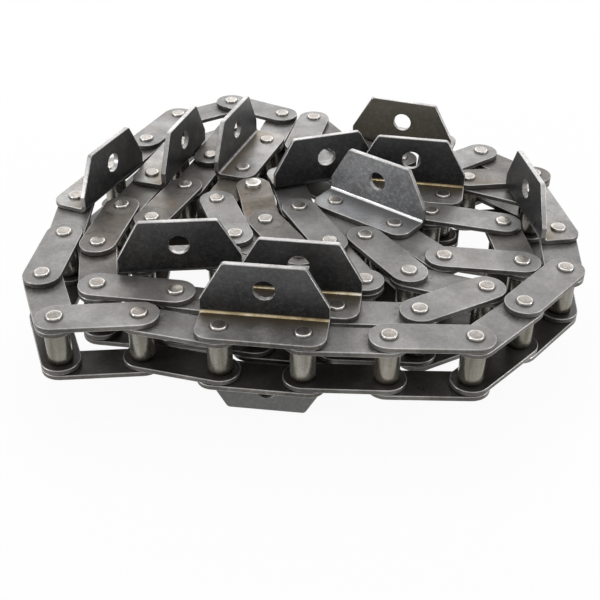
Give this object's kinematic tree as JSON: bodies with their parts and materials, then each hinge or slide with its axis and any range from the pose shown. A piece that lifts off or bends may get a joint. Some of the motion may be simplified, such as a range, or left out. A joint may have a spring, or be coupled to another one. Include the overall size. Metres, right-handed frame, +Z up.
{
  "type": "conveyor chain",
  "caption": "Roller conveyor chain with bent attachment tabs, lying on its side in a loose pile, with a cranked link at one end.",
  "frame": {"origin": "on the floor, under the middle of the pile's bounding box", "axes": "+Z up along the pins, +X to the right and +Y to the back as the pile is seen from the front"},
  "size_m": [0.3004, 0.2932, 0.09],
  "materials": {
    "plate_steel": "blackened rolled steel, lightly oiled"
  },
  "bodies": {
    "cranked_link_00": {"cranked_link_00": "plate_steel"},
    "stiff_pair_01_02": {"stiff_pair_01_02": "plate_steel"},
    "outer_link_03": {"outer_link_03": "plate_steel"},
    "inner_link_04": {"inner_link_04": "plate_steel"},
    "attachment_link_05": {"attachment_link_05": "plate_steel"},
    "inner_link_06": {"inner_link_06": "plate_steel"},
    "outer_link_07": {"outer_link_07": "plate_steel"},
    "inner_link_08": {"inner_link_08": "plate_steel"},
    "outer_link_09": {"outer_link_09": "plate_steel"},
    "inner_link_10": {"inner_link_10": "plate_steel"},
    "attachment_link_11": {"attachment_link_11": "plate_steel"},
    "inner_link_12": {"inner_link_12": "plate_steel"},
    "stiff_pair_13_14": {"stiff_pair_13_14": "plate_steel"},
    "outer_link_15": {"outer_link_15": "plate_steel"},
    "inner_link_16": {"inner_link_16": "plate_steel"},
    "attachment_link_17": {"attachment_link_17": "plate_steel"},
    "inner_link_18": {"inner_link_18": "plate_steel"},
    "outer_link_19": {"outer_link_19": "plate_steel"},
    "stiff_pair_20_21": {"stiff_pair_20_21": "plate_steel"},
    "inner_link_22": {"inner_link_22": "plate_steel"},
    "attachment_link_23": {"attachment_link_23": "plate_steel"},
    "stiff_pair_24_25": {"stiff_pair_24_25": "plate_steel"},
    "inner_link_26": {"inner_link_26": "plate_steel"},
    "outer_link_27": {"outer_link_27": "plate_steel"},
    "inner_link_28": {"inner_link_28": "plate_steel"},
    "attachment_link_29": {"attachment_link_29": "plate_steel"},
    "stiff_pair_30_31": {"stiff_pair_30_31": "plate_steel"},
    "inner_link_32": {"inner_link_32": "plate_steel"},
    "outer_link_33": {"outer_link_33": "plate_steel"},
    "inner_link_34": {"inner_link_34": "plate_steel"},
    "attachment_link_35": {"attachment_link_35": "plate_steel"},
    "inner_link_36": {"inner_link_36": "plate_steel"},
    "outer_link_37": {"outer_link_37": "plate_steel"},
    "inner_link_38": {"inner_link_38": "plate_steel"},
    "outer_link_39": {"outer_link_39": "plate_steel"},
    "inner_link_40": {"inner_link_40": "plate_steel"},
    "attachment_link_41": {"attachment_link_41": "plate_steel"},
    "inner_link_42": {"inner_link_42": "plate_steel"},
    "outer_link_43": {"outer_link_43": "plate_steel"},
    "stiff_pair_44_45": {"stiff_pair_44_45": "plate_steel"},
    "inner_link_46": {"inner_link_46": "plate_steel"},
    "attachment_link_47": {"attachment_link_47": "plate_steel"},
    "inner_link_48": {"inner_link_48": "plate_steel"},
    "outer_link_49": {"outer_link_49": "plate_steel"},
    "inner_link_50": {"inner_link_50": "plate_steel"},
    "outer_link_51": {"outer_link_51": "plate_steel"},
    "inner_link_52": {"inner_link_52": "plate_steel"},
    "attachment_link_53": {"attachment_link_53": "plate_steel"},
    "inner_link_54": {"inner_link_54": "plate_steel"},
    "outer_link_55": {"outer_link_55": "plate_steel"},
    "inner_link_56": {"inner_link_56": "plate_steel"},
    "outer_link_57": {"outer_link_57": "plate_steel"},
    "inner_link_58": {"inner_link_58": "plate_steel"},
    "stiff_pair_59_60": {"stiff_pair_59_60": "plate_steel"},
    "outer_link_61": {"outer_link_61": "plate_steel"},
    "inner_link_62": {"inner_link_62": "plate_steel"},
    "outer_link_63": {"outer_link_63": "plate_steel"},
    "inner_link_64": {"inner_link_64": "plate_steel"},
    "attachment_link_65": {"attachment_link_65": "plate_steel"},
    "inner_link_66": {"inner_link_66": "plate_steel"}
  },
  "joints": [
    {"name": "hinge_01", "type": "hinge", "parent": "stiff_pair_01_02", "child": "cranked_link_00", "pos_m": [-0.02506, -0.02649, 0.045], "axis": [0, 0, -1], "range_deg": [-3.16, 0]},
    {"name": "hinge_03", "type": "hinge", "parent": "outer_link_03", "child": "stiff_pair_01_02", "pos_m": [-0.04148, -0.04234, 0.045], "axis": [0, 0, -1], "range_deg": [0, 3.98]},
    {"name": "hinge_04", "type": "hinge", "parent": "inner_link_04", "child": "outer_link_03", "pos_m": [-0.05427, -0.00297, 0.045], "axis": [0, 0, -1], "range_deg": [-4.77, 0]},
    {"name": "hinge_05", "type": "hinge", "parent": "attachment_link_05", "child": "inner_link_04", "pos_m": [-0.04079, 0.03618, 0.045], "axis": [0, 0, -1], "range_deg": [0, 7.58]},
    {"name": "hinge_06", "type": "hinge", "parent": "inner_link_06", "child": "attachment_link_05", "pos_m": [-0.02731, 0.07532, 0.045], "axis": [0, 0, 1], "range_deg": [0, 8]},
    {"name": "hinge_07", "type": "hinge", "parent": "outer_link_07", "child": "inner_link_06", "pos_m": [-0.018, 0.11566, 0.045], "axis": [0, 0, -1], "range_deg": [0, 3.06]},
    {"name": "hinge_08", "type": "hinge", "parent": "inner_link_08", "child": "outer_link_07", "pos_m": [-0.05385, 0.13636, 0.045], "axis": [0, 0, -1], "range_deg": [0, 6.18]},
    {"name": "hinge_09", "type": "hinge", "parent": "outer_link_09", "child": "inner_link_08", "pos_m": [-0.08857, 0.11381, 0.045], "axis": [0, 0, 1], "range_deg": [0, 11]},
    {"name": "hinge_10", "type": "hinge", "parent": "inner_link_10", "child": "outer_link_09", "pos_m": [-0.10541, 0.07599, 0.045], "axis": [0, 0, -1], "range_deg": [-4.2, 0]},
    {"name": "hinge_11", "type": "hinge", "parent": "attachment_link_11", "child": "inner_link_10", "pos_m": [-0.12092, 0.03761, 0.045], "axis": [0, 0, -1], "range_deg": [0, 10.84]},
    {"name": "hinge_12", "type": "hinge", "parent": "inner_link_12", "child": "attachment_link_11", "pos_m": [-0.1371, -0.0005, 0.045], "axis": [0, 0, -1], "range_deg": [0, 5.71]},
    {"name": "hinge_13", "type": "hinge", "parent": "stiff_pair_13_14", "child": "inner_link_12", "pos_m": [-0.13638, -0.0419, 0.045], "axis": [0, 0, -1], "range_deg": [-8.09, 0]},
    {"name": "hinge_15", "type": "hinge", "parent": "outer_link_15", "child": "stiff_pair_13_14", "pos_m": [-0.12582, -0.12204, 0.045], "axis": [0, 0, -1], "range_deg": [-7.49, 0]},
    {"name": "hinge_16", "type": "hinge", "parent": "inner_link_16", "child": "outer_link_15", "pos_m": [-0.08458, -0.11843, 0.045], "axis": [0, 0, -1], "range_deg": [0, 11]},
    {"name": "hinge_17", "type": "hinge", "parent": "attachment_link_17", "child": "inner_link_16", "pos_m": [-0.04459, -0.12915, 0.045], "axis": [0, 0, -1], "range_deg": [-11, 0]},
    {"name": "hinge_18", "type": "hinge", "parent": "inner_link_18", "child": "attachment_link_17", "pos_m": [-0.0035, -0.13419, 0.045], "axis": [0, 0, -1], "range_deg": [0, 7.84]},
    {"name": "hinge_19", "type": "hinge", "parent": "outer_link_19", "child": "inner_link_18", "pos_m": [0.03787, -0.13564, 0.045], "axis": [0, 0, -1], "range_deg": [0, 8.94]},
    {"name": "hinge_20", "type": "hinge", "parent": "stiff_pair_20_21", "child": "outer_link_19", "pos_m": [0.07927, -0.13636, 0.045], "axis": [0, 0, -1], "range_deg": [-9.88, 0]},
    {"name": "hinge_22", "type": "hinge", "parent": "inner_link_22", "child": "stiff_pair_20_21", "pos_m": [0.13519, -0.07534, 0.045], "axis": [0, 0, -1], "range_deg": [0, 3.2]},
    {"name": "hinge_23", "type": "hinge", "parent": "attachment_link_23", "child": "inner_link_22", "pos_m": [0.13951, -0.03416, 0.045], "axis": [0, 0, 1], "range_deg": [0, 11]},
    {"name": "hinge_24", "type": "hinge", "parent": "stiff_pair_24_25", "child": "attachment_link_23", "pos_m": [0.13375, 0.00683, 0.045], "axis": [0, 0, -1], "range_deg": [0, 5.39]},
    {"name": "hinge_26", "type": "hinge", "parent": "inner_link_26", "child": "stiff_pair_24_25", "pos_m": [0.13796, 0.03068, 0.045], "axis": [0, 0, -1], "range_deg": [0, 7.62]},
    {"name": "hinge_27", "type": "hinge", "parent": "outer_link_27", "child": "inner_link_26", "pos_m": [0.10972, 0.06095, 0.045], "axis": [0, 0, -1], "range_deg": [-11, 0]},
    {"name": "hinge_28", "type": "hinge", "parent": "inner_link_28", "child": "outer_link_27", "pos_m": [0.07623, 0.03662, 0.045], "axis": [0, 0, -1], "range_deg": [0, 6.58]},
    {"name": "hinge_29", "type": "hinge", "parent": "attachment_link_29", "child": "inner_link_28", "pos_m": [0.08342, 0.07739, 0.045], "axis": [0, 0, -1], "range_deg": [-5.89, 0]},
    {"name": "hinge_30", "type": "hinge", "parent": "stiff_pair_30_31", "child": "attachment_link_29", "pos_m": [0.04427, 0.09087, 0.045], "axis": [0, 0, -1], "range_deg": [0, 4.94]},
    {"name": "hinge_32", "type": "hinge", "parent": "inner_link_32", "child": "stiff_pair_30_31", "pos_m": [0.02227, 0.07305, 0.045], "axis": [0, 0, -1], "range_deg": [-3.58, 0]},
    {"name": "hinge_33", "type": "hinge", "parent": "outer_link_33", "child": "inner_link_32", "pos_m": [0.00347, 0.10993, 0.045], "axis": [0, 0, -1], "range_deg": [0, 4.91]},
    {"name": "hinge_34", "type": "hinge", "parent": "inner_link_34", "child": "outer_link_33", "pos_m": [-0.00514, 0.06944, 0.045], "axis": [0, 0, -1], "range_deg": [-10.98, 0]},
    {"name": "hinge_35", "type": "hinge", "parent": "attachment_link_35", "child": "inner_link_34", "pos_m": [0.02563, 0.04174, 0.045], "axis": [0, 0, -1], "range_deg": [0, 11]},
    {"name": "hinge_36", "type": "hinge", "parent": "attachment_link_35", "child": "inner_link_36", "pos_m": [-0.01375, 0.02894, 0.045], "axis": [0, 0, 1], "range_deg": [0, 1.03]},
    {"name": "hinge_37", "type": "hinge", "parent": "inner_link_36", "child": "outer_link_37", "pos_m": [-0.00585, -0.0117, 0.045], "axis": [0, 0, 1], "range_deg": [-2.69, 0]},
    {"name": "hinge_38", "type": "hinge", "parent": "outer_link_37", "child": "inner_link_38", "pos_m": [0.01099, -0.04952, 0.045], "axis": [0, 0, 1], "range_deg": [0, 5.19]},
    {"name": "hinge_39", "type": "hinge", "parent": "inner_link_38", "child": "outer_link_39", "pos_m": [0.02849, -0.08704, 0.045], "axis": [0, 0, 1], "range_deg": [-2.62, 0]},
    {"name": "hinge_40", "type": "hinge", "parent": "outer_link_39", "child": "inner_link_40", "pos_m": [-0.01275, -0.08343, 0.045], "axis": [0, 0, 1], "range_deg": [0, 4.25]},
    {"name": "hinge_41", "type": "hinge", "parent": "inner_link_40", "child": "attachment_link_41", "pos_m": [-0.04861, -0.06273, 0.045], "axis": [0, 0, -1], "range_deg": [0, 11]},
    {"name": "hinge_42", "type": "hinge", "parent": "attachment_link_41", "child": "inner_link_42", "pos_m": [-0.08985, -0.06634, 0.045], "axis": [0, 0, 1], "range_deg": [0, 5.44]},
    {"name": "hinge_43", "type": "hinge", "parent": "inner_link_42", "child": "outer_link_43", "pos_m": [-0.08985, -0.02494, 0.045], "axis": [0, 0, 1], "range_deg": [-3.57, 0]},
    {"name": "hinge_44", "type": "hinge", "parent": "outer_link_43", "child": "stiff_pair_44_45", "pos_m": [-0.07434, 0.01345, 0.045], "axis": [0, 0, 1], "range_deg": [0, 6.39]},
    {"name": "hinge_46", "type": "hinge", "parent": "stiff_pair_44_45", "child": "inner_link_46", "pos_m": [-0.05082, 0.09284, 0.045], "axis": [0, 0, 1], "range_deg": [-3.06, 0]},
    {"name": "hinge_47", "type": "hinge", "parent": "inner_link_46", "child": "attachment_link_47", "pos_m": [-0.08389, 0.06792, 0.045], "axis": [0, 0, 1], "range_deg": [0, 5.22]},
    {"name": "hinge_48", "type": "hinge", "parent": "attachment_link_47", "child": "inner_link_48", "pos_m": [-0.09599, 0.02833, 0.045], "axis": [0, 0, -1], "range_deg": [0, 8]},
    {"name": "hinge_49", "type": "hinge", "parent": "inner_link_48", "child": "outer_link_49", "pos_m": [-0.10879, -0.01104, 0.045], "axis": [0, 0, 1], "range_deg": [0, 3.1]},
    {"name": "hinge_50", "type": "hinge", "parent": "outer_link_49", "child": "inner_link_50", "pos_m": [-0.11597, -0.05182, 0.045], "axis": [0, 0, 1], "range_deg": [-3.55, 0]},
    {"name": "hinge_51", "type": "hinge", "parent": "inner_link_50", "child": "outer_link_51", "pos_m": [-0.1095, -0.09271, 0.045], "axis": [0, 0, 1], "range_deg": [0, 9.37]},
    {"name": "hinge_52", "type": "hinge", "parent": "outer_link_51", "child": "inner_link_52", "pos_m": [-0.0685, -0.09847, 0.045], "axis": [0, 0, -1], "range_deg": [0, 11]},
    {"name": "hinge_53", "type": "hinge", "parent": "inner_link_52", "child": "attachment_link_53", "pos_m": [-0.02786, -0.10637, 0.045], "axis": [0, 0, 1], "range_deg": [0, 5.27]},
    {"name": "hinge_54", "type": "hinge", "parent": "attachment_link_53", "child": "inner_link_54", "pos_m": [0.01323, -0.11141, 0.045], "axis": [0, 0, 1], "range_deg": [0, 4.51]},
    {"name": "hinge_55", "type": "hinge", "parent": "inner_link_54", "child": "outer_link_55", "pos_m": [0.05457, -0.11358, 0.045], "axis": [0, 0, 1], "range_deg": [-11, 0]},
    {"name": "hinge_56", "type": "hinge", "parent": "outer_link_55", "child": "inner_link_56", "pos_m": [0.09078, -0.09351, 0.045], "axis": [0, 0, 1], "range_deg": [0, 5.54]},
    {"name": "hinge_57", "type": "hinge", "parent": "inner_link_56", "child": "outer_link_57", "pos_m": [0.05213, -0.07867, 0.045], "axis": [0, 0, 1], "range_deg": [0, 0.1727]},
    {"name": "hinge_58", "type": "hinge", "parent": "outer_link_57", "child": "inner_link_58", "pos_m": [0.03081, -0.04319, 0.045], "axis": [0, 0, 1], "range_deg": [-5.49, 0]},
    {"name": "hinge_59", "type": "hinge", "parent": "inner_link_58", "child": "stiff_pair_59_60", "pos_m": [0.0153, -0.0048, 0.045], "axis": [0, 0, 1], "range_deg": [0, 3.03]},
    {"name": "hinge_61", "type": "hinge", "parent": "stiff_pair_59_60", "child": "outer_link_61", "pos_m": [0.07226, -0.06378, 0.045], "axis": [0, 0, 1], "range_deg": [0, 11]},
    {"name": "hinge_62", "type": "hinge", "parent": "outer_link_61", "child": "inner_link_62", "pos_m": [0.11335, -0.06883, 0.045], "axis": [0, 0, 1], "range_deg": [-11, 0]},
    {"name": "hinge_63", "type": "hinge", "parent": "inner_link_62", "child": "outer_link_63", "pos_m": [0.10974, -0.02758, 0.045], "axis": [0, 0, 1], "range_deg": [0, 10.16]},
    {"name": "hinge_64", "type": "hinge", "parent": "outer_link_63", "child": "inner_link_64", "pos_m": [0.06995, -0.01617, 0.045], "axis": [0, 0, 1], "range_deg": [-10.2, 0]},
    {"name": "hinge_65", "type": "hinge", "parent": "inner_link_64", "child": "attachment_link_65", "pos_m": [0.03823, 0.01044, 0.045], "axis": [0, 0, 1], "range_deg": [0, 1.26]},
    {"name": "hinge_66", "type": "hinge", "parent": "attachment_link_65", "child": "inner_link_66", "pos_m": [0.079, 0.00325, 0.045], "axis": [0, 0, 1], "range_deg": [0, 0.2926]}
  ],
  "couplings": [
    {"joint": "hinge_01", "follows": "hinge_06", "ratio": -0.3955},
    {"joint": "hinge_03", "follows": "hinge_06", "ratio": 0.4971},
    {"joint": "hinge_04", "follows": "hinge_06", "ratio": -0.5959},
    {"joint": "hinge_05", "follows": "hinge_06", "ratio": 0.9474},
    {"joint": "hinge_07", "follows": "hinge_06", "ratio": 0.3828},
    {"joint": "hinge_08", "follows": "hinge_09", "ratio": 0.562},
    {"joint": "hinge_10", "follows": "hinge_09", "ratio": -0.3821},
    {"joint": "hinge_11", "follows": "hinge_09", "ratio": 0.9852},
    {"joint": "hinge_12", "follows": "hinge_09", "ratio": 0.5193},
    {"joint": "hinge_13", "follows": "hinge_09", "ratio": -0.7354},
    {"joint": "hinge_15", "follows": "hinge_16", "ratio": -0.6807},
    {"joint": "hinge_17", "follows": "hinge_16", "ratio": -1},
    {"joint": "hinge_18", "follows": "hinge_16", "ratio": 0.7128},
    {"joint": "hinge_19", "follows": "hinge_16", "ratio": 0.8128},
    {"joint": "hinge_20", "follows": "hinge_16", "ratio": -0.8984},
    {"joint": "hinge_22", "follows": "hinge_23", "ratio": 0.2906},
    {"joint": "hinge_24", "follows": "hinge_23", "ratio": 0.4898},
    {"joint": "hinge_26", "follows": "hinge_23", "ratio": 0.693},
    {"joint": "hinge_27", "follows": "hinge_23", "ratio": -1},
    {"joint": "hinge_28", "follows": "hinge_23", "ratio": 0.5985},
    {"joint": "hinge_29", "follows": "hinge_35", "ratio": -0.5357},
    {"joint": "hinge_30", "follows": "hinge_35", "ratio": 0.4488},
    {"joint": "hinge_32", "follows": "hinge_35", "ratio": -0.3257},
    {"joint": "hinge_33", "follows": "hinge_35", "ratio": 0.446},
    {"joint": "hinge_34", "follows": "hinge_35", "ratio": -0.9982},
    {"joint": "hinge_36", "follows": "hinge_41", "ratio": 0.094},
    {"joint": "hinge_37", "follows": "hinge_41", "ratio": -0.2444},
    {"joint": "hinge_38", "follows": "hinge_41", "ratio": 0.4715},
    {"joint": "hinge_39", "follows": "hinge_41", "ratio": -0.2383},
    {"joint": "hinge_40", "follows": "hinge_41", "ratio": 0.3864},
    {"joint": "hinge_42", "follows": "hinge_41", "ratio": 0.4941},
    {"joint": "hinge_43", "follows": "hinge_48", "ratio": -0.4459},
    {"joint": "hinge_44", "follows": "hinge_48", "ratio": 0.7986},
    {"joint": "hinge_46", "follows": "hinge_48", "ratio": -0.3831},
    {"joint": "hinge_47", "follows": "hinge_48", "ratio": 0.6525},
    {"joint": "hinge_49", "follows": "hinge_48", "ratio": 0.3874},
    {"joint": "hinge_50", "follows": "hinge_52", "ratio": -0.3225},
    {"joint": "hinge_51", "follows": "hinge_52", "ratio": 0.8521},
    {"joint": "hinge_53", "follows": "hinge_52", "ratio": 0.479},
    {"joint": "hinge_54", "follows": "hinge_52", "ratio": 0.4102},
    {"joint": "hinge_55", "follows": "hinge_52", "ratio": -1},
    {"joint": "hinge_56", "follows": "hinge_52", "ratio": 0.5039},
    {"joint": "hinge_57", "follows": "hinge_61", "ratio": 0.0157},
    {"joint": "hinge_58", "follows": "hinge_61", "ratio": -0.4988},
    {"joint": "hinge_59", "follows": "hinge_61", "ratio": 0.2751},
    {"joint": "hinge_62", "follows": "hinge_61", "ratio": -1},
    {"joint": "hinge_63", "follows": "hinge_61", "ratio": 0.924},
    {"joint": "hinge_64", "follows": "hinge_61", "ratio": -0.927},
    {"joint": "hinge_65", "follows": "hinge_61", "ratio": 0.1143},
    {"joint": "hinge_66", "follows": "hinge_61", "ratio": 0.0266}
  ]
}
